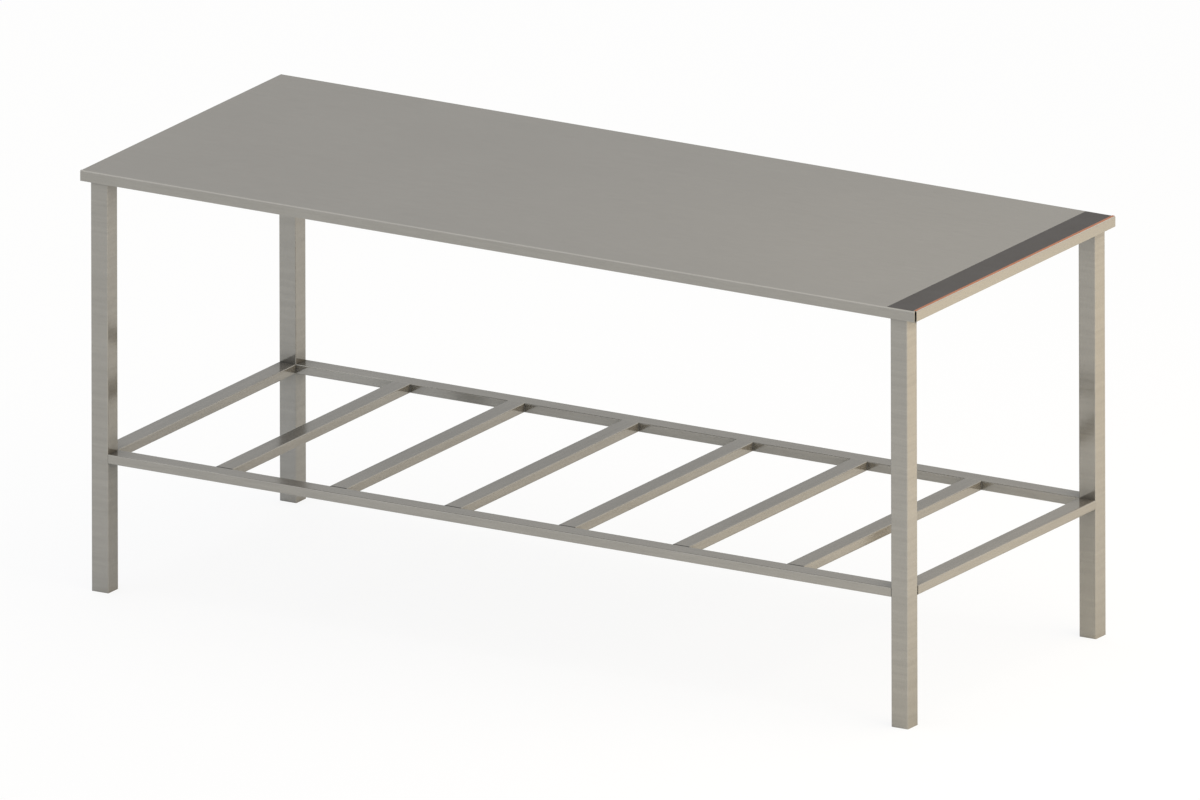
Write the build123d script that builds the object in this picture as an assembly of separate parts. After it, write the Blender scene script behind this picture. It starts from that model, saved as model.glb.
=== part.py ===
"""Stainless steel work table: a folded sheet top, four square-tube legs and a low slatted shelf.

Millimetres, +Z up. The origin is on the floor under the middle of the top. The front is towards -Y and
the right-hand end, which carries the dark strip, is towards +X.
"""

from build123d import *
from build123d.topology import SkipClean
import math
import os

# Overall sizes
table_length = 2000.0
table_depth = 800.0
table_height = 900.0

# Folded top sheet
sheet_thickness = 1.5
bend_inner_radius = 1.5
lip_height = 23.0
lap_clearance = 0.5
long_lip_slit = 1.5
end_lip_slit = 7.0

# Film strip across the right-hand end of the top and the coloured line along its outer edge
strip_reach = 69.0
film_thickness = 0.2
film_margin = 0.5
line_flat_width = 4.0
line_wrap_angle = 30.0

# Square tube of the legs and the plates that close their lower ends
leg_side = 40.0
leg_wall = 1.5
leg_corner_radius = 2.0
leg_end_clearance = 19.0
leg_side_clearance = 2.0
foot_plate_thickness = 3.0

# Flat rectangular tube of the shelf
shelf_tube_width = 40.0
shelf_tube_height = 20.0
shelf_tube_wall = 1.5
shelf_tube_corner_radius = 2.0
shelf_top_height = 298.0
slat_count = 6

# Flat rectangular tube of the frame under the sheet
frame_tube_width = 40.0
frame_tube_height = 20.0
frame_tube_wall = 1.5
frame_tube_corner_radius = 2.0
cross_bar_count = 3

# Studs, washers and nuts that hold the sheet down
fixing_spacing = 500.0
stud_diameter = 6.0
stud_flange_overhang = 0.75
stud_flange_thickness = 1.0
stud_hole_clearance = 0.5
stud_past_nut = 3.0
washer_rim = 6.0
washer_thickness = 1.6
washer_clearance = 0.2
nut_wall = 2.0
nut_height = 5.0
nut_clearance = 0.05
nut_chamfer_angle = 30.0

# Places worked out from the sizes above
half_length = table_length / 2
half_depth = table_depth / 2
bend_radius = bend_inner_radius + sheet_thickness
sheet_underside = table_height - sheet_thickness
flat_end = half_length - bend_radius
flat_side = half_depth - bend_radius
strip_start = half_length - strip_reach
lapped_lip_setback = bend_radius + lap_clearance
leg_outer_x = flat_end - leg_end_clearance
leg_outer_y = flat_side - leg_side_clearance
leg_x = leg_outer_x - leg_side / 2
leg_y = leg_outer_y - leg_side / 2
leg_gap_x = 2 * leg_x - leg_side
leg_gap_y = 2 * leg_y - leg_side
shelf_z = shelf_top_height - shelf_tube_height / 2
shelf_rail_y = leg_outer_y - shelf_tube_width / 2
shelf_end_x = leg_outer_x - shelf_tube_width / 2
slat_length = 2 * shelf_rail_y - shelf_tube_width
shelf_end_length = min(leg_gap_y, slat_length)
frame_z = sheet_underside - frame_tube_height / 2
frame_rail_y = leg_outer_y - frame_tube_width / 2
frame_end_x = leg_outer_x - frame_tube_width / 2
cross_bar_length = 2 * frame_rail_y - frame_tube_width
frame_end_length = min(leg_gap_y, cross_bar_length)
frame_underside = sheet_underside - frame_tube_height
stud_radius = stud_diameter / 2
stud_length = frame_tube_height + washer_thickness + nut_height + stud_past_nut
stud_flange_radius = stud_radius + stud_flange_overhang
stud_hole_radius = stud_flange_radius + stud_hole_clearance
washer_radius = stud_radius + washer_rim
nut_flats_radius = stud_radius + nut_wall
nut_corner_radius = nut_flats_radius / math.cos(math.pi / 6)
nut_top = frame_underside - washer_thickness

# Planes whose normals run along the length and across the depth, with the section's height upwards
along_length = Plane(origin=(0, 0, 0), x_dir=(0, 1, 0), z_dir=(1, 0, 0))
across_depth = Plane(origin=(0, 0, 0), x_dir=(-1, 0, 0), z_dir=(0, 1, 0))

# Corners of the table by name, as signs along the length and the depth
corners = {"front_left": (-1, -1), "front_right": (1, -1), "back_left": (-1, 1), "back_right": (1, 1)}
sides = {"front": -1, "back": 1}
ends = {"left": -1, "right": 1}


def evenly_between(half_span, count):
    """Places of count members spaced evenly between two outer members at plus and minus half_span."""
    pitch = 2 * half_span / (count + 1)
    return [-half_span + pitch * (index + 1) for index in range(count)]


def rounded_section(width, height, corner_radius):
    """Rectangle whose corners are rounded, or square where no radius is left."""
    if corner_radius > 0:
        return RectangleRounded(width, height, corner_radius)
    return Rectangle(width, height)


def tube(plane, length, width, height, wall, corner_radius):
    """Rectangular tube centred on the plane's origin, running along its normal."""
    outside = rounded_section(width, height, corner_radius)
    inside = rounded_section(width - 2 * wall, height - 2 * wall, corner_radius - wall)
    return extrude(plane * (outside - inside), amount=length / 2, both=True)


def shelf_tube(plane, length):
    """Length of the shelf's flat tube."""
    return tube(
        plane, length, shelf_tube_width, shelf_tube_height, shelf_tube_wall, shelf_tube_corner_radius
    )


def frame_tube(plane, length):
    """Length of the top frame's flat tube."""
    return tube(
        plane, length, frame_tube_width, frame_tube_height, frame_tube_wall, frame_tube_corner_radius
    )


def lip(half_span, start_y, end_y):
    """Bend and down-turned lip on the +X side of a flat that reaches half_span, between two places in Y."""
    centre = (half_span - bend_radius, table_height - bend_radius)
    outer_bend = CenterArc(centre, bend_radius, 0, 90)
    inner_bend = CenterArc(centre, bend_inner_radius, 0, 90)
    lip_foot = table_height - lip_height
    outer_foot = (half_span, lip_foot)
    inner_foot = (half_span - sheet_thickness, lip_foot)
    outline = [
        outer_bend,
        Line(outer_bend @ 1, inner_bend @ 1),
        inner_bend,
        Polyline(inner_bend @ 0, inner_foot, outer_foot, outer_bend @ 0),
    ]
    strip = extrude(Plane.XZ * make_face(outline), amount=(end_y - start_y) / 2, both=True)
    return Pos(0, (start_y + end_y) / 2, 0) * strip


def flat_panel(start_x, end_x):
    """Flat of the top sheet between two places along the length."""
    panel = Box(end_x - start_x, 2 * flat_side, sheet_thickness)
    return Pos((start_x + end_x) / 2, 0, table_height - sheet_thickness / 2) * panel


def make_top_sheet():
    """Folded sheet whose top is two faces: the bare worktop and the seat of the film strip.

    The front and right-hand lips lap over the ends of the other two. Two opposite corners are open slits.
    """
    lips = []
    for angle, lap in ((0, 0), (180, lapped_lip_setback)):
        lips.append(Rot(0, 0, angle) * lip(half_length, end_lip_slit - half_depth, half_depth - lap))
    for angle, lap in ((-90, 0), (90, lapped_lip_setback)):
        lips.append(Rot(0, 0, angle) * lip(half_depth, lap - half_length, half_length - long_lip_slit))
    with SkipClean():
        sheet = flat_panel(-flat_end, strip_start) + [flat_panel(strip_start, flat_end), *lips]
    return sheet


def make_end_strip():
    """Dark film on the flat of the top, from its inner edge to the coloured line."""
    start_x = strip_start + film_margin
    end_x = flat_end - line_flat_width
    film = Box(end_x - start_x, 2 * (flat_side - film_margin), film_thickness)
    return Pos((start_x + end_x) / 2, 0, table_height + film_thickness / 2) * film


def make_edge_line():
    """Coloured film on the last of the flat, wrapped part of the way round the right-hand bend."""
    centre = (flat_end, table_height - bend_radius)
    first_angle = 90 - line_wrap_angle
    inner = CenterArc(centre, bend_radius, first_angle, line_wrap_angle)
    outer = CenterArc(centre, bend_radius + film_thickness, first_angle, line_wrap_angle)
    inner_start = (flat_end - line_flat_width, table_height)
    outer_start = (flat_end - line_flat_width, table_height + film_thickness)
    outline = [
        inner,
        Polyline(inner @ 1, inner_start, outer_start, outer @ 1),
        outer,
        Line(outer @ 0, inner @ 0),
    ]
    run = table_depth - end_lip_slit - 2 * film_margin
    return Pos(0, end_lip_slit / 2, 0) * extrude(Plane.XZ * make_face(outline), amount=run / 2, both=True)


def make_leg(x, y):
    """Leg tube from its foot plate up to the underside of the sheet."""
    length = sheet_underside - foot_plate_thickness
    middle = Plane.XY.offset((sheet_underside + foot_plate_thickness) / 2)
    return Pos(x, y, 0) * tube(middle, length, leg_side, leg_side, leg_wall, leg_corner_radius)


def make_foot_plate(x, y):
    """Plate that closes the lower end of a leg, flush with its faces."""
    outline = rounded_section(leg_side, leg_side, leg_corner_radius)
    return Pos(x, y, 0) * extrude(outline, amount=foot_plate_thickness)


def fixing_points(bar_x):
    """Places of the two studs on a bar."""
    return [(bar_x, side * fixing_spacing / 2) for side in sides.values()]


def make_drilled_bar(bar_x, length):
    """Bar across the top frame with a clear hole through both walls for each stud."""
    bar = Pos(bar_x, 0, frame_z) * frame_tube(across_depth, length)
    for x, y in fixing_points(bar_x):
        bar -= Pos(x, y, frame_z) * Cylinder(stud_hole_radius, 2 * frame_tube_height)
    return bar


def make_stud():
    """Threaded stud hanging from the origin, with its weld flange at the top."""
    top = (Align.CENTER, Align.CENTER, Align.MAX)
    shank = Cylinder(stud_radius, stud_length, align=top)
    return shank + Cylinder(stud_flange_radius, stud_flange_thickness, align=top)


def make_washer():
    """Flat washer with its upper face at the origin."""
    ring = Circle(washer_radius) - Circle(stud_radius + washer_clearance)
    return extrude(ring, amount=-washer_thickness)


def make_nut():
    """Hexagon nut with its upper face at the origin and its corners turned back at both ends."""
    turned_back = (nut_corner_radius - nut_flats_radius) * math.tan(math.radians(nut_chamfer_angle))
    profile = Polyline(
        (0, 0),
        (nut_flats_radius, 0),
        (nut_corner_radius, -turned_back),
        (nut_corner_radius, turned_back - nut_height),
        (nut_flats_radius, -nut_height),
        (0, -nut_height),
        close=True,
    )
    turned = revolve(Plane.XZ * make_face(profile), Axis.Z)
    hexagon = extrude(RegularPolygon(nut_corner_radius, 6), amount=-nut_height)
    bore = Cylinder(stud_radius + nut_clearance, 2 * nut_height)
    return (turned & hexagon) - bore


def repeated(shape, places, height):
    """Group of separate copies of a shape at the given places and height."""
    return Compound([Pos(x, y, height) * solid for x, y in places for solid in shape.solids()])


nodes = {
    "top_sheet": make_top_sheet(),
    "end_strip": make_end_strip(),
    "edge_line": make_edge_line(),
}

# Legs and foot plates
for corner, (x_sign, y_sign) in corners.items():
    nodes[f"leg_{corner}"] = make_leg(x_sign * leg_x, y_sign * leg_y)
    nodes[f"foot_plate_{corner}"] = make_foot_plate(x_sign * leg_x, y_sign * leg_y)

# Long rails of the shelf and of the top frame, between the legs
for side, y_sign in sides.items():
    shelf_place = Pos(0, y_sign * shelf_rail_y, shelf_z)
    frame_place = Pos(0, y_sign * frame_rail_y, frame_z)
    nodes[f"shelf_rail_{side}"] = shelf_place * shelf_tube(along_length, leg_gap_x)
    nodes[f"top_rail_{side}"] = frame_place * frame_tube(along_length, leg_gap_x)

# End rails of the shelf and of the top frame, between the legs or, if the tube is wider, the rails
for end, x_sign in ends.items():
    shelf_place = Pos(x_sign * shelf_end_x, 0, shelf_z)
    nodes[f"shelf_end_rail_{end}"] = shelf_place * shelf_tube(across_depth, shelf_end_length)
    nodes[f"top_end_rail_{end}"] = make_drilled_bar(x_sign * frame_end_x, frame_end_length)

# Slats of the shelf and cross bars of the top frame, between the long rails
for number, x in enumerate(evenly_between(shelf_end_x, slat_count), start=1):
    nodes[f"slat_{number}"] = Pos(x, 0, shelf_z) * shelf_tube(across_depth, slat_length)
cross_bar_xs = evenly_between(frame_end_x, cross_bar_count)
for number, x in enumerate(cross_bar_xs, start=1):
    nodes[f"top_cross_bar_{number}"] = make_drilled_bar(x, cross_bar_length)

# Fixings of the sheet, on the end rails and the cross bars
fixings = [place for x in (-frame_end_x, *cross_bar_xs, frame_end_x) for place in fixing_points(x)]
nodes["weld_studs"] = repeated(make_stud(), fixings, sheet_underside)
nodes["stud_washers"] = repeated(make_washer(), fixings, frame_underside)
nodes["stud_nuts"] = repeated(make_nut(), fixings, nut_top)

os.makedirs("parts", exist_ok=True)
for name, shape in nodes.items():
    export_step(shape, f"parts/{name}.step")
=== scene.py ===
"""Looks of a welded steel work table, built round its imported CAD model.

Metres, +Z up, in the CAD model's own frame: the front is towards -Y and the end with the dark strip is
towards +X.
"""

import logging
import math
from dataclasses import dataclass, replace
from enum import Enum
from typing import Any, Iterable, Optional, Sequence

import bpy
from mathutils import Matrix, Vector


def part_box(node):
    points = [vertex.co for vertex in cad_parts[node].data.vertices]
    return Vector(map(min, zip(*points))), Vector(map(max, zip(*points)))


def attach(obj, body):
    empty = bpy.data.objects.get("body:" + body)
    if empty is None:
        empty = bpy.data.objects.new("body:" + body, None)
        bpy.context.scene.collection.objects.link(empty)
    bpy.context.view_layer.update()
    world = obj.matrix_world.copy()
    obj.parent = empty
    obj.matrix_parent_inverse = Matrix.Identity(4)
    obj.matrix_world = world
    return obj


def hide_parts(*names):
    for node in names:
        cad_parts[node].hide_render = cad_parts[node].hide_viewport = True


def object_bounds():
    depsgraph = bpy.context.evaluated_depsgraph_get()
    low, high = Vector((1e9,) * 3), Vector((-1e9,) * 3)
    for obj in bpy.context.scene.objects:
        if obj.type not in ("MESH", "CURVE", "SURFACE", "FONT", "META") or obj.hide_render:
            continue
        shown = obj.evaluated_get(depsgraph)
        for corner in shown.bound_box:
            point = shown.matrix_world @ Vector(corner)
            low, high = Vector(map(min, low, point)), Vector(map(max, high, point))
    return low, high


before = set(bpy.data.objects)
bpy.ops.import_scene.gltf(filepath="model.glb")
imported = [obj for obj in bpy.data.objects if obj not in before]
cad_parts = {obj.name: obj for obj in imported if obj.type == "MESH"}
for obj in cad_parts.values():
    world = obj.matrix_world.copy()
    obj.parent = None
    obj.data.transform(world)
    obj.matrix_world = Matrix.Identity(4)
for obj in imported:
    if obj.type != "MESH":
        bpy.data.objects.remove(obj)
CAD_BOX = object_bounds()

log = logging.getLogger("work_table")

BODY = "root"
MM = 0.001

Colour = tuple[float, float, float]
Place = tuple[float, float, float]
Segment = tuple[Vector, Vector]
Socket = bpy.types.NodeSocket


class Grain(Enum):
    """What the brush lines of a steel surface run along, as flags for X, Y and Z."""

    ALONG_X = (True, False, False)
    ALONG_Y = (False, True, False)
    LEVEL = (True, True, False)
    NONE = (False, False, False)


class Cut(Enum):
    """How one shape works another, by Blender's name for it."""

    KEEP_SHARED = "INTERSECT"
    TAKE_AWAY = "DIFFERENCE"


class NodeSheet:
    """A node tree with short calls for adding and wiring its nodes."""

    def __init__(self, tree: bpy.types.NodeTree) -> None:
        """Keeps the tree that the nodes go into."""
        self.tree = tree

    def wire(self, value: Any, socket: Socket) -> None:
        """Feeds an input.

        Args:
            value: A socket to link from, or a plain value.
            socket: The input that takes it.
        """
        if isinstance(value, Socket):
            self.tree.links.new(value, socket)
        else:
            socket.default_value = value

    def add(self, kind: str, wires: Optional[dict] = None, **settings: Any) -> bpy.types.Node:
        """Adds a node.

        Args:
            kind: Blender's name for the node's type.
            wires: What each named or numbered input takes.
            settings: Properties of the node, set before its inputs.

        Returns:
            The new node.
        """
        node = self.tree.nodes.new(kind)
        for name, value in settings.items():
            setattr(node, name, value)
        for key, value in (wires or {}).items():
            self.wire(value, node.inputs[key])
        return node

    def calc(self, operation: str, *terms: Any) -> Socket:
        """Result of one calculation.

        Args:
            operation: Name of the Math node's operation.
            terms: Up to three numbers or sockets.

        Returns:
            The socket that holds the result.
        """
        return self.add("ShaderNodeMath", dict(enumerate(terms)), operation=operation).outputs[0]

    def total(self, *terms: Any) -> Socket:
        """Sum of two or more terms.

        Args:
            terms: Numbers or sockets.

        Returns:
            The socket that holds the sum.
        """
        running = terms[0]
        for term in terms[1:]:
            running = self.calc("ADD", running, term)
        return running

    def split(self, vector: Socket) -> bpy.types.NodeOutputs:
        """Parts of a vector, named X, Y and Z."""
        return self.add("ShaderNodeSeparateXYZ", {0: vector}).outputs

    def spread(self, pattern: Socket, reach: float) -> Socket:
        """Pattern of 0 to 1 turned into a change of up to reach either way round nothing.

        Args:
            pattern: The pattern's value.
            reach: The largest change.

        Returns:
            The socket that holds the change.
        """
        return self.calc("MULTIPLY_ADD", pattern, 2.0 * reach, -reach)

    def blend(self, share: Any, first: Any, second: Any) -> Socket:
        """Mix of two colours.

        Args:
            share: How much of the second colour there is, from 0 to 1.
            first: A colour.
            second: The other colour.

        Returns:
            The socket that holds the mix.
        """
        node = self.add("ShaderNodeMix", {0: share}, data_type="RGBA")
        for colour, name in ((first, "A"), (second, "B")):
            self.wire(colour, next(s for s in node.inputs if s.name == name and s.type == "RGBA"))
        return next(s for s in node.outputs if s.type == "RGBA")


class FinishSheet(NodeSheet):
    """The node tree of a new material, with the patterns that the finishes share."""

    flat_facing: float = 0.995
    round_facing: float = 0.85
    openness_rays: int = 16

    def __init__(self, name: str) -> None:
        """Starts a material with an output and the coordinates that its patterns lie on.

        Args:
            name: The material's name.
        """
        self.material = bpy.data.materials.new(name)
        self.material.use_nodes = True
        super().__init__(self.material.node_tree)
        self.tree.nodes.clear()
        self.output = self.add("ShaderNodeOutputMaterial")
        self.place = self.add("ShaderNodeTexCoord").outputs["Object"]

    def noise(self, cell: Place, detail: float, harshness: float = 0.5) -> Socket:
        """Soft random pattern of 0 to 1.

        Args:
            cell: Size of the pattern's largest features along X, Y and Z.
            detail: How many finer layers lie on top of them.
            harshness: How strong the finer layers are.

        Returns:
            The socket that holds the pattern.
        """
        place = self.add(
            "ShaderNodeVectorMath",
            {0: self.place, 1: [1.0 / size for size in cell]},
            operation="MULTIPLY",
        ).outputs[0]
        wires = {"Vector": place, "Scale": 1.0, "Detail": detail, "Roughness": harshness}
        return self.add("ShaderNodeTexNoise", wires).outputs[0]

    def rounding(self) -> Socket:
        """Where a surface is rounded, told from its flats, which all face along an axis.

        Returns:
            The socket that holds 1 on bends and rounded corners and 0 on the flats.
        """
        normal = self.add("ShaderNodeNewGeometry").outputs["True Normal"]
        upright = self.add("ShaderNodeVectorMath", {0: normal}, operation="ABSOLUTE").outputs[0]
        axes = self.split(upright)
        main = self.calc("MAXIMUM", self.calc("MAXIMUM", axes["X"], axes["Y"]), axes["Z"])
        wires = {"Value": main, "From Min": self.flat_facing, "From Max": self.round_facing}
        return self.add("ShaderNodeMapRange", wires).outputs[0]

    def openness(self, reach: float) -> Socket:
        """How open the space before a surface is.

        Args:
            reach: How far off other surfaces count.

        Returns:
            The socket that holds 1 in the open and less in corners and gaps.
        """
        wires = {"Distance": reach}
        return self.add("ShaderNodeAmbientOcclusion", wires, samples=self.openness_rays).outputs["AO"]

    def tinted(self, colour: Colour, tone: Socket) -> Socket:
        """Colour made lighter or darker.

        Args:
            colour: The mean colour.
            tone: What it is multiplied by.

        Returns:
            The socket that holds the colour.
        """
        wires = {0: colour, "Scale": tone}
        return self.add("ShaderNodeVectorMath", wires, operation="SCALE").outputs[0]

    def raised(self, height: Socket) -> Socket:
        """Normal of a surface with fine relief.

        Args:
            height: The relief in metres.

        Returns:
            The socket that holds the normal.
        """
        wires = {"Height": height, "Strength": 1.0, "Distance": 1.0}
        return self.add("ShaderNodeBump", wires).outputs[0]

    def finish(self, **inputs: Any) -> bpy.types.Material:
        """Closes the tree with the surface shader.

        Args:
            inputs: What the shader's inputs take, with underscores for the spaces in their names.

        Returns:
            The finished material.
        """
        wires = {name.replace("_", " "): value for name, value in inputs.items()}
        surface = self.add("ShaderNodeBsdfPrincipled", wires)
        self.wire(surface.outputs[0], self.output.inputs["Surface"])
        return self.material


@dataclass(frozen=True)
class BrushedSteel:
    """Stainless steel with brush lines, finer hairs and a faint haze, and with painted light and shade.

    The rounded edges are brighter, partly as edge polish and partly as a painted highlight. Corners and gaps
    above a set height are darkened as painted shade. A joint shade is a painted dark line at a joint, and
    the painted shade above a height is a dark layer that paints the shade under a sheet and behind its lips.
    Either is left out where its place is None.
    """

    name: str
    grain: Grain
    colour: Colour = (0.335, 0.330, 0.307)
    metal: float = 0.75
    grazing_tint: float = 0.5
    shine: float = 0.1
    roughness: float = 0.13
    line_pitch: float = 9 * MM
    line_length: float = 350 * MM
    line_layers: float = 4.0
    line_harshness: float = 0.6
    line_tone: float = 0.12
    line_depth: float = 0.03 * MM
    hair_pitch: float = 2.4 * MM
    hair_length: float = 45 * MM
    hair_layers: float = 2.0
    hair_tone: float = 0.09
    hair_depth: float = 0.002 * MM
    hair_roughness: float = 0.04
    haze_size: float = 240 * MM
    haze_layers: float = 3.0
    haze_tone: float = 0.03
    # Brighter rounded edges: edge polish and a painted highlight.
    edge_polish_and_highlight: float = 0.10
    # Painted shade: the colour darkens towards corners and gaps, by ambient occlusion within a reach, above
    # a height.
    corner_shade_above: float = 200 * MM
    corner_shade_reach: float = 95 * MM
    corner_shade_open: float = 0.95
    corner_shade_closed: float = 0.40
    corner_shade_tone: float = 0.55
    # Painted shade: a dark line at the front joint of the tubes across the depth.
    joint_shade_at: Optional[float] = None
    joint_shade_width: float = 4 * MM
    joint_shade_tone: float = 0.05
    # Painted shade: a dark, rougher layer above a height, under a sheet and behind its lips.
    painted_shade_above: Optional[float] = None
    painted_shade_soft: float = 1 * MM
    painted_shade_fall: float = 0.0
    painted_shade_facing: float = -0.5
    painted_shade_tone: float = 0.10
    painted_shade_roughness: float = 0.45

    def cell(self, pitch: float, length: float) -> Place:
        """Size of a brush line along X, Y and Z.

        Args:
            pitch: Size across the grain.
            length: Size along the grain.

        Returns:
            The three sizes.
        """
        return tuple(length if along else pitch for along in self.grain.value)

    def painted_shade(self, sheet: FinishSheet) -> Socket:
        """Where the painted shade lies: above a height, on faces turned down far enough.

        A limit above 1 for the facing takes in every face. On faces turned to the table's ends, the painted
        shade's edge may drop further in from the front and the back, as a slanted painted shadow.

        Args:
            sheet: The material's tree.

        Returns:
            The socket that holds 1 in the painted shade, 0 elsewhere and shares between at its edge.
        """
        normal = sheet.add("ShaderNodeNewGeometry").outputs["True Normal"]
        facing = sheet.split(normal)
        turned = sheet.calc("LESS_THAN", facing["Z"], self.painted_shade_facing)
        spot = sheet.split(sheet.place)
        inset = sheet.calc("SUBTRACT", CAD_BOX[1][1], sheet.calc("ABSOLUTE", spot["Y"]))
        drop = sheet.calc("MULTIPLY", sheet.calc("ABSOLUTE", facing["X"]), inset)
        wires = {
            "Value": sheet.calc("MULTIPLY_ADD", drop, self.painted_shade_fall, spot["Z"]),
            "From Min": self.painted_shade_above,
            "From Max": self.painted_shade_above + self.painted_shade_soft,
        }
        return sheet.calc("MULTIPLY", turned, sheet.add("ShaderNodeMapRange", wires).outputs[0])

    def corners(self, sheet: FinishSheet) -> Socket:
        """Tone of the painted shade in corners and gaps, above a set height.

        Args:
            sheet: The material's tree.

        Returns:
            The socket that holds 1 in the open and less towards a corner.
        """
        wires = {
            "Value": sheet.openness(self.corner_shade_reach),
            "From Min": self.corner_shade_closed,
            "From Max": self.corner_shade_open,
            "To Min": self.corner_shade_tone,
        }
        tone = sheet.add("ShaderNodeMapRange", wires).outputs[0]
        low = sheet.calc("LESS_THAN", sheet.split(sheet.place)["Z"], self.corner_shade_above)
        return sheet.calc("MAXIMUM", tone, low)

    def painted_joint_shade(self, sheet: FinishSheet) -> Socket:
        """Tone of the painted shade line where the front end of a tube across the depth meets a rail.

        Args:
            sheet: The material's tree.

        Returns:
            The socket that holds 1 away from the joint and less beside it.
        """
        wires = {
            "Value": sheet.split(sheet.place)["Y"],
            "From Min": self.joint_shade_at,
            "From Max": self.joint_shade_at + self.joint_shade_width,
            "To Min": self.joint_shade_tone,
        }
        return sheet.add("ShaderNodeMapRange", wires).outputs[0]

    def material(self) -> bpy.types.Material:
        """Builds the finish.

        Returns:
            The material.
        """
        sheet = FinishSheet(self.name)
        line = self.cell(self.line_pitch, self.line_length)
        lines = sheet.noise(line, self.line_layers, self.line_harshness)
        hairs = sheet.noise(self.cell(self.hair_pitch, self.hair_length), self.hair_layers)
        haze = sheet.noise((self.haze_size,) * 3, self.haze_layers)
        # Rounded edges are made brighter, as edge polish and as a painted highlight.
        edge = sheet.rounding()
        tone = sheet.total(
            sheet.spread(lines, self.line_tone),
            sheet.spread(hairs, self.hair_tone),
            sheet.spread(haze, self.haze_tone),
            sheet.calc("MULTIPLY_ADD", edge, self.edge_polish_and_highlight, 1.0),
        )
        # Painted shade in corners and gaps.
        tone = sheet.calc("MULTIPLY", tone, self.corners(sheet))
        relief = sheet.calc("MULTIPLY", lines, self.line_depth)
        relief = sheet.calc("MULTIPLY_ADD", hairs, self.hair_depth, relief)
        rough = sheet.calc("ADD", sheet.spread(hairs, self.hair_roughness), self.roughness)
        # Painted shade along the front joint.
        if self.joint_shade_at is not None:
            tone = sheet.calc("MULTIPLY", tone, self.painted_joint_shade(sheet))
        # Painted shade: darker and rougher under the sheet and behind the lips.
        if self.painted_shade_above is not None:
            painted_shade = self.painted_shade(sheet)
            shade = sheet.calc("MULTIPLY_ADD", painted_shade, self.painted_shade_tone - 1.0, 1.0)
            tone = sheet.calc("MULTIPLY", tone, shade)
            rough = sheet.calc("MULTIPLY_ADD", painted_shade, self.painted_shade_roughness, rough)
        return sheet.finish(
            Base_Color=sheet.tinted(self.colour, tone),
            Metallic=self.metal,
            Roughness=rough,
            Specular_IOR_Level=self.shine,
            Specular_Tint=(*[self.grazing_tint] * 3, 1.0),
            Normal=sheet.raised(relief),
        )


# Dark, rougher weld metal; its darkness also paints the shade of the corners the beads sit in.
BEAD_STEEL = BrushedSteel("bead_steel", Grain.NONE, colour=(0.16, 0.158, 0.15), roughness=0.32)


@dataclass(frozen=True)
class SatinFilm:
    """Coloured adhesive film with a fine satin grain and a few rubbed places."""

    name: str
    colour: Colour
    roughness: float = 0.42
    shine: float = 0.25
    speck_size: float = 0.9 * MM
    speck_layers: float = 2.0
    speck_tone: float = 0.10
    speck_depth: float = 0.004 * MM
    rub_size: float = 60 * MM
    rub_layers: float = 4.0
    rub_harshness: float = 0.6
    rub_tone: float = 0.08
    rub_roughness: float = 0.06

    def material(self) -> bpy.types.Material:
        """Builds the finish.

        Returns:
            The material.
        """
        sheet = FinishSheet(self.name)
        specks = sheet.noise((self.speck_size,) * 3, self.speck_layers)
        rubs = sheet.noise((self.rub_size,) * 3, self.rub_layers, self.rub_harshness)
        tone = sheet.total(sheet.spread(specks, self.speck_tone), sheet.spread(rubs, self.rub_tone), 1.0)
        return sheet.finish(
            Base_Color=sheet.tinted(self.colour, tone),
            Roughness=sheet.calc("ADD", sheet.spread(rubs, self.rub_roughness), self.roughness),
            Specular_IOR_Level=self.shine,
            Normal=sheet.raised(sheet.calc("MULTIPLY", specks, self.speck_depth)),
        )


@dataclass(frozen=True)
class StudioFloor:
    """Pale floor that keeps the table's shadow, near white to the camera and partly white in the steel."""

    name: str = "studio_floor"
    colour: Colour = (0.70, 0.745, 0.765)
    camera_white: float = 0.87
    mirror_white: float = 0.20
    grit_size: float = 300 * MM
    grit_layers: float = 3.0
    grit_tone: float = 0.01

    def material(self) -> bpy.types.Material:
        """Builds the finish, which can't be seen from below.

        Returns:
            The material.
        """
        sheet = FinishSheet(self.name)
        rays = sheet.add("ShaderNodeLightPath").outputs
        mirrored = sheet.calc("MAXIMUM", rays["Is Glossy Ray"], rays["Is Transmission Ray"])
        share = sheet.calc("MULTIPLY", mirrored, self.mirror_white)
        share = sheet.calc("MULTIPLY_ADD", rays["Is Camera Ray"], self.camera_white, share)
        grit = sheet.spread(sheet.noise((self.grit_size,) * 3, self.grit_layers), self.grit_tone)
        colour = sheet.tinted(self.colour, sheet.calc("ADD", grit, 1.0))
        paint = sheet.add("ShaderNodeBsdfDiffuse", {"Color": colour})
        white = sheet.add("ShaderNodeEmission", {"Strength": 1.0})
        lit = sheet.add("ShaderNodeMixShader", {0: share, 1: paint.outputs[0], 2: white.outputs[0]})
        below = sheet.add("ShaderNodeNewGeometry").outputs["Backfacing"]
        clear = sheet.add("ShaderNodeBsdfTransparent")
        both = sheet.add("ShaderNodeMixShader", {0: below, 1: lit.outputs[0], 2: clear.outputs[0]})
        sheet.wire(both.outputs[0], sheet.output.inputs["Surface"])
        sheet.material.cycles.emission_sampling = "NONE"
        return sheet.material


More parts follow.
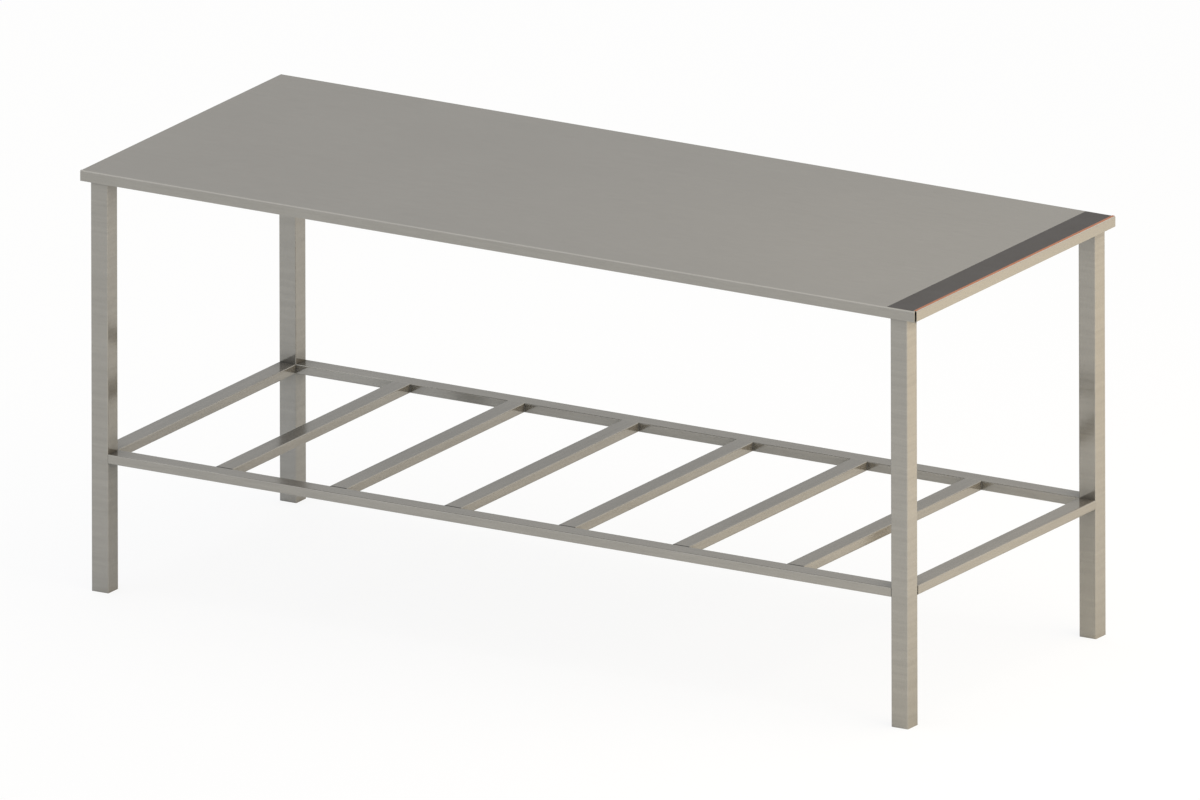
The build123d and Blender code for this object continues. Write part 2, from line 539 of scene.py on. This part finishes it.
class ShapeTree(NodeSheet):
    """A Geometry Nodes tree with named inputs, which ends in realised geometry with one material."""

    def __init__(self, name: str, sizes: dict[str, float]) -> None:
        """Starts a tree.

        Args:
            name: The tree's name.
            sizes: Its inputs after the geometry, each with the value that it is run with.
        """
        super().__init__(bpy.data.node_groups.new(name, "GeometryNodeTree"))
        sockets = self.tree.interface
        sockets.new_socket("Geometry", in_out="INPUT", socket_type="NodeSocketGeometry")
        sockets.new_socket("Geometry", in_out="OUTPUT", socket_type="NodeSocketGeometry")
        self.values: dict[str, float] = {}
        for label, value in sizes.items():
            socket = sockets.new_socket(label, in_out="INPUT", socket_type="NodeSocketFloat")
            self.values[socket.identifier] = value
        finish = sockets.new_socket("Finish", in_out="INPUT", socket_type="NodeSocketMaterial")
        self.finish_key = finish.identifier
        self.inputs = self.add("NodeGroupInput").outputs

    def close(self, shape: Socket) -> None:
        """Ends the tree.

        Args:
            shape: The geometry that the tree gives.
        """
        real = self.add("GeometryNodeRealizeInstances", {"Geometry": shape})
        wires = {"Geometry": real.outputs[0], "Material": self.inputs["Finish"]}
        dressed = self.add("GeometryNodeSetMaterial", wires)
        self.add("NodeGroupOutput", {"Geometry": dressed.outputs[0]})

    def outline(self, sides: int, radius: Any) -> Socket:
        """Closed outline with its points on a circle.

        Args:
            sides: Number of its points.
            radius: Its radius.

        Returns:
            The socket that holds the curve.
        """
        wires = {"Resolution": sides, "Radius": radius}
        return self.add("GeometryNodeCurvePrimitiveCircle", wires).outputs["Curve"]

    def lifted(self, shape: Socket, height: Any) -> Socket:
        """Shape moved up.

        Args:
            shape: The geometry.
            height: How far it moves.

        Returns:
            The socket that holds the moved geometry.
        """
        offset = self.add("ShaderNodeCombineXYZ", {"Z": height}).outputs[0]
        wires = {"Geometry": shape, "Translation": offset}
        return self.add("GeometryNodeTransform", wires).outputs[0]

    def drum(self, sides: int, radius: Any, height: Any, foot: Any) -> Socket:
        """Upright prism or cylinder.

        Args:
            sides: Number of its side faces.
            radius: Its radius to the corners.
            height: Its height.
            foot: Height of its lower end.

        Returns:
            The socket that holds its mesh.
        """
        wires = {"Vertices": sides, "Radius": radius, "Depth": height}
        shape = self.add("GeometryNodeMeshCylinder", wires).outputs["Mesh"]
        return self.lifted(shape, self.calc("MULTIPLY_ADD", height, 0.5, foot))

    def frustum(self, sides: int, top: Any, bottom: Any, height: Any) -> Socket:
        """Upright cone with a flat top, standing on the ground.

        Args:
            sides: Number of its side faces.
            top: Its radius at the top.
            bottom: Its radius at the bottom.
            height: Its height.

        Returns:
            The socket that holds its mesh.
        """
        wires = {"Vertices": sides, "Radius Top": top, "Radius Bottom": bottom, "Depth": height}
        return self.add("GeometryNodeMeshCone", wires).outputs["Mesh"]

    def cut(self, work: Cut, shape: Socket, tool: Socket) -> Socket:
        """Shape worked with another.

        Args:
            work: Whether what both fill is kept or the tool is taken away.
            shape: The shape to be worked.
            tool: The shape that works it.

        Returns:
            The socket that holds the result.
        """
        node = self.add("GeometryNodeMeshBoolean", operation=work.value, solver="EXACT")
        self.wire(shape, node.inputs["Mesh 1" if work is Cut.TAKE_AWAY else "Mesh 2"])
        self.wire(tool, node.inputs["Mesh 2"])
        return node.outputs["Mesh"]

    def copies(self, *shapes: Socket) -> Socket:
        """Copies of one shape at the seed's points.

        Args:
            shapes: The parts of the shape.

        Returns:
            The socket that holds the copies.
        """
        whole = self.add("GeometryNodeJoinGeometry")
        for shape in shapes:
            self.wire(shape, whole.inputs[0])
        wires = {"Points": self.inputs["Geometry"], "Instance": whole.outputs[0]}
        return self.add("GeometryNodeInstanceOnPoints", wires).outputs[0]

    def bake(self, name: str, seed: bpy.types.Mesh, finish: bpy.types.Material) -> bpy.types.Object:
        """Runs the tree and keeps its result as a plain mesh that rides with the table.

        Args:
            name: The piece's name.
            seed: Points or edges that the tree works on.
            finish: The piece's material.

        Returns:
            The piece.
        """
        piece = bpy.data.objects.new(name, seed)
        bpy.context.scene.collection.objects.link(piece)
        modifier = piece.modifiers.new(self.tree.name, "NODES")
        modifier.node_group = self.tree
        for key, value in {**self.values, self.finish_key: finish}.items():
            modifier[key] = value
        depsgraph = bpy.context.evaluated_depsgraph_get()
        result = bpy.data.meshes.new_from_object(piece.evaluated_get(depsgraph), depsgraph=depsgraph)
        piece.modifiers.clear()
        piece.data = result
        result.name = name
        bpy.data.meshes.remove(seed)
        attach(piece, BODY)
        log.info("built %s with %d faces", name, len(result.polygons))
        return piece


def seed_mesh(name: str, points: Sequence[Vector], edges: Sequence[tuple[int, int]]) -> bpy.types.Mesh:
    """Mesh of bare points and edges for a tree to work on.

    Args:
        name: The mesh's name.
        points: Places of its points.
        edges: Pairs of points to join.

    Returns:
        The mesh.
    """
    mesh = bpy.data.meshes.new(f"{name}_seed")
    mesh.from_pydata([tuple(point) for point in points], list(edges), [])
    return mesh


def dress_nodes(names: Iterable[str], material: bpy.types.Material) -> None:
    """Gives carried-over CAD nodes their finish.

    Args:
        names: The nodes.
        material: The finish for every slot of each node.
    """
    for name in names:
        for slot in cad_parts[name].material_slots:
            slot.material = material
        log.info("dressed %s in %s", name, material.name)


@dataclass
class WeldBeads:
    """Rippled weld beads along the joints of a group of tubes."""

    name: str
    slot: str
    finish: bpy.types.Material
    radius: float = 1.6 * MM
    end_gap: float = 2.5 * MM
    sunk: float = 1.0 * MM
    ripple_pitch: float = 1.7 * MM
    ripple_height: float = 0.13
    ring_step: float = 0.45 * MM
    end_taper: float = 2.5 * MM
    end_blunt: float = 0.12
    sides: int = 10

    def bar_ends(self, bar: str) -> list[Segment]:
        """Welds of a bar across the depth whose ends meet the flat sides of two rails.

        Args:
            bar: The bar's node.

        Returns:
            At each end, an upright line on both sides and a level line below.
        """
        low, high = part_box(bar)
        lines = []
        for y in (low.y, high.y):
            for x in (low.x, high.x):
                foot = Vector((x, y, low.z + self.end_gap))
                lines.append((foot, Vector((x, y, high.z - self.end_gap))))
            level = low.z + self.sunk
            start = Vector((low.x + self.end_gap, y, level))
            lines.append((start, Vector((high.x - self.end_gap, y, level))))
        return lines

    def rail_ends(self, rail: str) -> list[Segment]:
        """Welds under a rail where its ends meet two legs.

        Args:
            rail: The rail's node.

        Returns:
            A level line in the corner below each end.
        """
        low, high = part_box(rail)
        lines = []
        if high.x - low.x > high.y - low.y:
            for x in (low.x, high.x):
                start = Vector((x, low.y + self.end_gap, low.z))
                lines.append((start, Vector((x, high.y - self.end_gap, low.z))))
            return lines
        for y in (low.y, high.y):
            start = Vector((low.x + self.end_gap, y, low.z))
            lines.append((start, Vector((high.x - self.end_gap, y, low.z))))
        return lines

    def tree(self) -> ShapeTree:
        """Makes beads: one along each edge of the seed, with ripples and tapered ends.

        Returns:
            The tree.
        """
        sizes = {
            "Bead Radius": self.radius,
            "Ripple Pitch": self.ripple_pitch,
            "Ripple Height": self.ripple_height,
            "Ring Step": self.ring_step,
            "End Taper": self.end_taper,
        }
        tree = ShapeTree(f"{self.name}_tree", sizes)
        given = tree.inputs
        paths = tree.add("GeometryNodeMeshToCurve", {"Mesh": given["Geometry"]}).outputs[0]
        wires = {"Curve": paths, "Length": given["Ring Step"]}
        rings = tree.add("GeometryNodeResampleCurve", wires, mode="LENGTH").outputs[0]
        along = tree.add("GeometryNodeSplineParameter").outputs["Length"]
        whole = tree.add("GeometryNodeSplineLength").outputs["Length"]
        turns = tree.calc("MULTIPLY", tree.calc("DIVIDE", along, given["Ripple Pitch"]), math.tau)
        ripple = tree.calc("MULTIPLY_ADD", tree.calc("SINE", turns), given["Ripple Height"], 1.0)
        from_end = tree.calc("MINIMUM", along, tree.calc("SUBTRACT", whole, along))
        share = tree.calc("DIVIDE", from_end, given["End Taper"])
        share = tree.calc("MINIMUM", tree.calc("MAXIMUM", share, self.end_blunt), 1.0)
        taper = tree.calc("SQRT", share)
        size = tree.calc("MULTIPLY", tree.calc("MULTIPLY", ripple, taper), given["Bead Radius"])
        outline = tree.outline(self.sides, 1.0)
        wires = {"Curve": rings, "Profile Curve": outline, "Scale": size, "Fill Caps": True}
        bead = tree.add("GeometryNodeCurveToMesh", wires).outputs[0]
        tree.close(tree.add("GeometryNodeSetShadeSmooth", {"Geometry": bead}).outputs[0])
        return tree

    def build(self, bars: Sequence[str], rails: Sequence[str]) -> bpy.types.Object:
        """Lays the beads of a group of tubes as one piece.

        Args:
            bars: Nodes whose ends meet the flat sides of two rails.
            rails: Nodes whose ends meet two legs.

        Returns:
            The piece.
        """
        lines = [line for bar in bars for line in self.bar_ends(bar)]
        lines += [line for rail in rails for line in self.rail_ends(rail)]
        points = [end for line in lines for end in line]
        edges = [(index, index + 1) for index in range(0, len(points), 2)]
        piece = self.tree().bake(self.name, seed_mesh(self.name, points, edges), self.finish)
        return piece


@dataclass
class WorkTop:
    """The folded sheet with the dark film strip and the coloured line at its right-hand end."""

    steel: BrushedSteel = BrushedSteel(
        "top_steel",
        Grain.ALONG_X,
        line_tone=0.035,
        line_pitch=7 * MM,
        # Stronger painted highlight along the sheet's bends, with edge polish.
        edge_polish_and_highlight=0.22,
        # Painted shade on the sheet's underside and the inner faces of its lips.
        painted_shade_above=890 * MM,
    )
    strip: SatinFilm = SatinFilm("strip_film", (0.0300, 0.0275, 0.0255), shine=0.12)
    line: SatinFilm = SatinFilm("line_film", (0.235, 0.080, 0.027))

    def dress(self) -> None:
        """Gives the three nodes their finishes."""
        for name, finish in (("top_sheet", self.steel), ("end_strip", self.strip), ("edge_line", self.line)):
            dress_nodes([name], finish.material())


@dataclass
class Legs:
    """The four square tubes and the plates that close their lower ends."""

    steel: BrushedSteel = BrushedSteel(
        "leg_steel",
        Grain.LEVEL,
        line_pitch=10 * MM,
        line_tone=0.15,
        # Painted shade on every face of the legs' upper ends behind the lips.
        painted_shade_above=877.5 * MM,
        painted_shade_soft=5.5 * MM,
        painted_shade_facing=2.0,
    )
    corners: tuple[str, ...] = ("front_left", "front_right", "back_left", "back_right")
    slit_leg: str = "leg_front_right"
    # Slant of the painted shadow on the leg behind the open slit.
    slit_shadow_fall: float = 0.42

    def dress(self) -> None:
        """Gives legs and plates their finish, with a slanted painted shadow on the leg behind the open slit.
        """
        names = [f"{part}_{corner}" for part in ("leg", "foot_plate") for corner in self.corners]
        dress_nodes([name for name in names if name != self.slit_leg], self.steel.material())
        # A copy of the steel whose painted shadow reaches lower, slanted like the lip's cast shadow.
        shaded = replace(self.steel, name="slit_leg_shadowed_steel", painted_shade_fall=self.slit_shadow_fall)
        dress_nodes([self.slit_leg], shaded.material())


@dataclass
class Shelf:
    """The low shelf: two long rails, two end rails and the slats between the long rails."""

    long_steel: BrushedSteel = BrushedSteel("rail_steel", Grain.ALONG_X)
    cross_steel: BrushedSteel = BrushedSteel("slat_steel", Grain.ALONG_Y, colour=(0.320, 0.315, 0.293))
    bead_steel: BrushedSteel = replace(BEAD_STEEL, name="shelf_bead_steel")
    long_rails: tuple[str, ...] = ("shelf_rail_front", "shelf_rail_back")
    end_rails: tuple[str, ...] = ("shelf_end_rail_left", "shelf_end_rail_right")
    slats: tuple[str, ...] = tuple(f"slat_{number}" for number in range(1, 7))

    def dress(self) -> None:
        """Gives the tubes their finishes."""
        dress_nodes(self.long_rails, self.long_steel.material())
        front_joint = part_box(self.slats[0])[0].y
        # The slats and end rails get a painted shade line at the slats' front joint.
        dress_nodes(self.end_rails + self.slats, replace(self.cross_steel, joint_shade_at=front_joint).material())

    def build(self) -> None:
        """Lays the weld beads."""
        beads = WeldBeads("shelf_weld_beads", "shelf_steel", self.bead_steel.material())
        beads.build(self.slats, self.long_rails + self.end_rails)


@dataclass
class TopFrame:
    """The tube frame under the sheet: two long rails, two end rails and the cross bars."""

    long_steel: BrushedSteel = BrushedSteel("frame_rail_steel", Grain.ALONG_X, roughness=0.2)
    cross_steel: BrushedSteel = BrushedSteel("frame_bar_steel", Grain.ALONG_Y, roughness=0.2)
    bead_steel: BrushedSteel = replace(BEAD_STEEL, name="frame_bead_steel")
    long_rails: tuple[str, ...] = ("top_rail_front", "top_rail_back")
    end_rails: tuple[str, ...] = ("top_end_rail_left", "top_end_rail_right")
    bars: tuple[str, ...] = tuple(f"top_cross_bar_{number}" for number in range(1, 4))

    def dress(self) -> None:
        """Gives the tubes their finishes."""
        dress_nodes(self.long_rails, self.long_steel.material())
        dress_nodes(self.end_rails + self.bars, self.cross_steel.material())

    def build(self) -> None:
        """Lays the weld beads."""
        beads = WeldBeads("frame_weld_beads", "frame_steel", self.bead_steel.material())
        beads.build(self.bars, self.long_rails + self.end_rails)


@dataclass
class Fixings:
    """Threaded studs, washers and nuts that hold the sheet down on the frame."""

    steel: BrushedSteel = BrushedSteel("fixing_steel", Grain.NONE, colour=(0.42, 0.42, 0.41), roughness=0.2)
    slot: str = "fixing_steel"
    bars: tuple[str, ...] = (
        "top_end_rail_left", "top_cross_bar_1", "top_cross_bar_2", "top_cross_bar_3", "top_end_rail_right"
    )
    spacing: float = 500 * MM
    thread_radius: float = 3.0 * MM
    thread_pitch: float = 1.0 * MM
    thread_depth: float = 0.5 * MM
    flange_radius: float = 3.75 * MM
    flange_height: float = 1.0 * MM
    washer_hole: float = 3.2 * MM
    washer_radius: float = 9.0 * MM
    washer_rounding: float = 0.3 * MM
    nut_flats: float = 5.0 * MM
    nut_bore: float = 3.05 * MM
    nut_chamfer: float = 30.0
    nut_sides: int = 6
    bore_overshoot: float = 1.0
    round_sides: int = 24
    ring_sides: int = 48
    turn_steps: int = 20
    ridge_sides: int = 4
    rounding_steps: int = 3

    def seeds(self, node: str) -> bpy.types.Mesh:
        """Points for copies of a fixing, at the height of the fixing's lower end.

        Args:
            node: The CAD node that holds the fixings.

        Returns:
            A mesh of two points on each bar.
        """
        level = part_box(node)[0].z
        middles = [sum(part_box(bar), Vector()) / 2 for bar in self.bars]
        points = [Vector((spot.x, side * self.spacing / 2, level)) for spot in middles for side in (-1, 1)]
        return seed_mesh(node, points, [])

    def height(self, node: str) -> float:
        """Height of a fixing in the CAD model."""
        low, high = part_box(node)
        return high.z - low.z

    def stud_tree(self) -> ShapeTree:
        """Makes studs: a core, a thread wound round it and a weld flange at the top.

        Returns:
            The tree.
        """
        sizes = {
            "Length": self.height("weld_studs"),
            "Thread Radius": self.thread_radius,
            "Thread Depth": self.thread_depth,
            "Thread Pitch": self.thread_pitch,
            "Flange Radius": self.flange_radius,
            "Flange Height": self.flange_height,
        }
        tree = ShapeTree("stud_tree", sizes)
        given = tree.inputs
        root = tree.calc("SUBTRACT", given["Thread Radius"], given["Thread Depth"])
        core = tree.drum(self.round_sides, root, given["Length"], 0.0)
        run = tree.calc("SUBTRACT", given["Length"], given["Thread Pitch"])
        wires = {
            "Resolution": self.turn_steps,
            "Rotations": tree.calc("DIVIDE", run, given["Thread Pitch"]),
            "Start Radius": root,
            "End Radius": root,
            "Height": run,
        }
        helix = tree.add("GeometryNodeCurveSpiral", wires).outputs[0]
        upright = tree.add("GeometryNodeSetCurveNormal", {"Curve": helix}, mode="Z_UP").outputs[0]
        ridge = tree.outline(self.ridge_sides, given["Thread Depth"])
        wires = {"Curve": upright, "Profile Curve": ridge, "Fill Caps": True}
        wound = tree.add("GeometryNodeCurveToMesh", wires).outputs[0]
        thread = tree.lifted(wound, tree.calc("DIVIDE", given["Thread Pitch"], 2.0))
        foot = tree.calc("SUBTRACT", given["Length"], given["Flange Height"])
        flange = tree.drum(self.round_sides, given["Flange Radius"], given["Flange Height"], foot)
        tree.close(tree.copies(core, thread, flange))
        return tree

    def washer_tree(self) -> ShapeTree:
        """Makes washers: a strip with rounded edges, swept round a ring.

        Returns:
            The tree.
        """
        sizes = {
            "Hole Radius": self.washer_hole,
            "Outer Radius": self.washer_radius,
            "Height": self.height("stud_washers"),
            "Rounding": self.washer_rounding,
        }
        tree = ShapeTree("washer_tree", sizes)
        given = tree.inputs
        middle = tree.calc("DIVIDE", tree.calc("ADD", given["Hole Radius"], given["Outer Radius"]), 2.0)
        rim = tree.calc("SUBTRACT", given["Outer Radius"], given["Hole Radius"])
        wires = {"Width": rim, "Height": given["Height"]}
        strip = tree.add("GeometryNodeCurvePrimitiveQuadrilateral", wires).outputs[0]
        wires = {"Curve": strip, "Radius": given["Rounding"], "Count": self.rounding_steps}
        soft = tree.add("GeometryNodeFilletCurve", wires, mode="POLY").outputs[0]
        wires = {"Curve": tree.outline(self.ring_sides, middle), "Profile Curve": soft}
        ring = tree.add("GeometryNodeCurveToMesh", wires).outputs[0]
        tree.close(tree.copies(tree.lifted(ring, tree.calc("DIVIDE", given["Height"], 2.0))))
        return tree

    def nut_tree(self) -> ShapeTree:
        """Makes nuts: a hexagon with turned-back corners and a round bore.

        Returns:
            The tree.
        """
        sizes = {
            "Flats Radius": self.nut_flats,
            "Bore Radius": self.nut_bore,
            "Height": self.height("stud_nuts"),
            "Chamfer": math.radians(self.nut_chamfer),
        }
        tree = ShapeTree("nut_tree", sizes)
        given = tree.inputs
        tall, flats = given["Height"], given["Flats Radius"]
        corner = tree.calc("DIVIDE", flats, math.cos(math.pi / self.nut_sides))
        shape = tree.drum(self.nut_sides, corner, tall, 0.0)
        flare = tree.calc("DIVIDE", tall, tree.calc("TANGENT", given["Chamfer"]))
        wide = tree.calc("ADD", flats, flare)
        for top, bottom in ((flats, wide), (wide, flats)):
            cone = tree.frustum(self.ring_sides, top, bottom, tall)
            shape = tree.cut(Cut.KEEP_SHARED, shape, cone)
        length = tree.calc("MULTIPLY", tall, 1.0 + 2.0 * self.bore_overshoot)
        foot = tree.calc("MULTIPLY", tall, -self.bore_overshoot)
        bore = tree.drum(self.round_sides, given["Bore Radius"], length, foot)
        tree.close(tree.copies(tree.cut(Cut.TAKE_AWAY, shape, bore)))
        return tree

    def build(self) -> None:
        """Makes the studs, washers and nuts, which stand in for their plain CAD nodes."""
        steel = self.steel.material()
        for node, tree, name in (
            ("weld_studs", self.stud_tree(), "threaded_studs"),
            ("stud_washers", self.washer_tree(), "round_washers"),
            ("stud_nuts", self.nut_tree(), "hexagon_nuts"),
        ):
            piece = tree.bake(name, self.seeds(node), steel)
            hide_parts(node)


@dataclass(frozen=True)
class SoftBox:
    """Area lamp that the camera and the steel don't see."""

    name: str
    place: Place
    aim: Place
    size: tuple[float, float]
    spread: float
    power: float
    colour: Colour

    def hang(self) -> None:
        """Hangs the lamp at its place, turned to what it lights."""
        lamp = bpy.data.lights.new(self.name, "AREA")
        lamp.shape = "RECTANGLE"
        lamp.size, lamp.size_y = self.size
        lamp.spread = math.radians(self.spread)
        lamp.energy = self.power
        lamp.color = self.colour
        box = bpy.data.objects.new(self.name, lamp)
        box.location = self.place
        box.rotation_euler = (Vector(self.aim) - Vector(self.place)).to_track_quat("-Z", "Y").to_euler()
        box.visible_glossy = False
        box.visible_camera = False
        bpy.context.scene.collection.objects.link(box)


@dataclass
class Studio:
    """Plain pale floor, soft light and the camera of the picture."""

    floor: StudioFloor = StudioFloor()
    floor_reach: float = 40.0
    ambient_low: float = 0.22
    ambient_high: float = 1.75
    level_light: Colour = (0.98, 1.07, 1.22)
    zenith_light: Colour = (1.005, 0.950, 0.985)
    warm_light: Colour = (1.15, 0.84, 0.34)
    backdrop: float = 1.0
    key: SoftBox = SoftBox(
        name="key_soft_box",
        place=(2.9, -0.05, 1.0),
        aim=(0.0, 0.0, 1.1),
        size=(2.6, 1.2),
        spread=105.0,
        power=38.5,
        colour=(1.0, 0.81, 0.62),
    )
    floor_wash: SoftBox = SoftBox(
        name="floor_soft_box",
        place=(2.8, 2.0, 1.3),
        aim=(2.8, 2.0, 0.0),
        size=(2.2, 2.2),
        spread=180.0,
        power=27.0,
        colour=(1.0, 0.70, 0.33),
    )
    top_wash: SoftBox = SoftBox(
        name="top_soft_box",
        place=(0.8, 0.0, 2.1),
        aim=(0.8, 0.0, 0.9),
        size=(0.8, 0.8),
        spread=80.0,
        power=1.2,
        colour=(1.0, 0.86, 0.62),
    )
    azimuth: float = 31.03
    elevation: float = 16.68
    roll: float = -0.14
    view_width: float = 2.4649
    aim_height: float = 450 * MM
    aim_right: float = 3.5 * MM
    aim_up: float = 5.6 * MM
    camera_distance: float = 8.0
    view_depth: float = 100.0

    def lay_floor(self) -> None:
        """Lays the floor that the feet stand on."""
        reach = self.floor_reach
        mesh = bpy.data.meshes.new(self.floor.name)
        mesh.from_pydata(
            [(-reach, -reach, 0), (reach, -reach, 0), (reach, reach, 0), (-reach, reach, 0)],
            [],
            [(0, 1, 2, 3)],
        )
        mesh.materials.append(self.floor.material())
        floor = bpy.data.objects.new(self.floor.name, mesh)
        bpy.context.scene.collection.objects.link(floor)

    def light_world(self) -> None:
        """Sets light from all round, stronger from above and warmer from the right.

        The camera and the steel see an even white backdrop in its place.
        """
        world = bpy.data.worlds.new("studio_world")
        world.use_nodes = True
        bpy.context.scene.world = world
        sheet = NodeSheet(world.node_tree)
        sheet.tree.nodes.clear()
        rays = sheet.add("ShaderNodeLightPath").outputs
        seen = sheet.total(rays["Is Camera Ray"], rays["Is Glossy Ray"], rays["Is Transmission Ray"])
        heading = sheet.add("ShaderNodeTexCoord").outputs["Generated"]
        axes = sheet.split(heading)
        wires = {"Value": axes["Z"], "To Min": self.ambient_low, "To Max": self.ambient_high}
        strength = sheet.add("ShaderNodeMapRange", wires).outputs[0]
        above = sheet.calc("MAXIMUM", axes["Z"], 0.0)
        aside = sheet.calc("MAXIMUM", axes["X"], 0.0)
        tint = sheet.blend(above, (*self.level_light, 1.0), (*self.zenith_light, 1.0))
        tint = sheet.blend(aside, tint, (*self.warm_light, 1.0))
        light = sheet.add("ShaderNodeBackground", {"Color": tint, "Strength": strength})
        white = sheet.add("ShaderNodeBackground", {"Color": (1, 1, 1, 1), "Strength": self.backdrop})
        share = sheet.calc("MINIMUM", seen, 1.0)
        mixed = sheet.add("ShaderNodeMixShader", {0: share, 1: light.outputs[0], 2: white.outputs[0]})
        sheet.add("ShaderNodeOutputWorld", {"Surface": mixed.outputs[0]})

    def set_camera(self) -> None:
        """Sets the camera of the picture, which sees in parallel."""
        turn, rise = math.radians(self.azimuth), math.radians(self.elevation)
        back = Vector((math.sin(turn) * math.cos(rise), -math.cos(turn) * math.cos(rise), math.sin(rise)))
        tilt = Matrix.Rotation(math.radians(self.roll), 4, "Z")
        pose = back.to_track_quat("Z", "Y").to_matrix().to_4x4() @ tilt
        aim = Vector((0.0, 0.0, self.aim_height))
        aim += pose.col[0].xyz * self.aim_right + pose.col[1].xyz * self.aim_up
        lens = bpy.data.cameras.new("picture_camera")
        lens.type = "ORTHO"
        lens.ortho_scale = self.view_width
        lens.clip_end = self.view_depth
        camera = bpy.data.objects.new("picture_camera", lens)
        camera.matrix_world = Matrix.Translation(aim + back * self.camera_distance) @ pose
        bpy.context.scene.collection.objects.link(camera)
        bpy.context.scene.camera = camera

    def build(self) -> None:
        """Sets up the floor, the light and the camera."""
        bpy.context.scene.view_settings.view_transform = "Standard"
        self.lay_floor()
        self.light_world()
        for lamp in (self.key, self.floor_wash, self.top_wash):
            lamp.hang()
        self.set_camera()
        log.info("set the floor, the lamps and the camera")


def note_sizes() -> None:
    """Brings the scene's view layer up to date."""
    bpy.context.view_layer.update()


def main() -> None:
    """Builds and dresses each sub-assembly in turn, then sets up the studio."""
    logging.basicConfig(level=logging.INFO, format="%(name)s: %(message)s")
    WorkTop().dress()
    Legs().dress()
    shelf = Shelf()
    shelf.dress()
    shelf.build()
    top_frame = TopFrame()
    top_frame.dress()
    top_frame.build()
    Fixings().build()
    Studio().build()
    note_sizes()


if __name__ == "__main__":
    main()
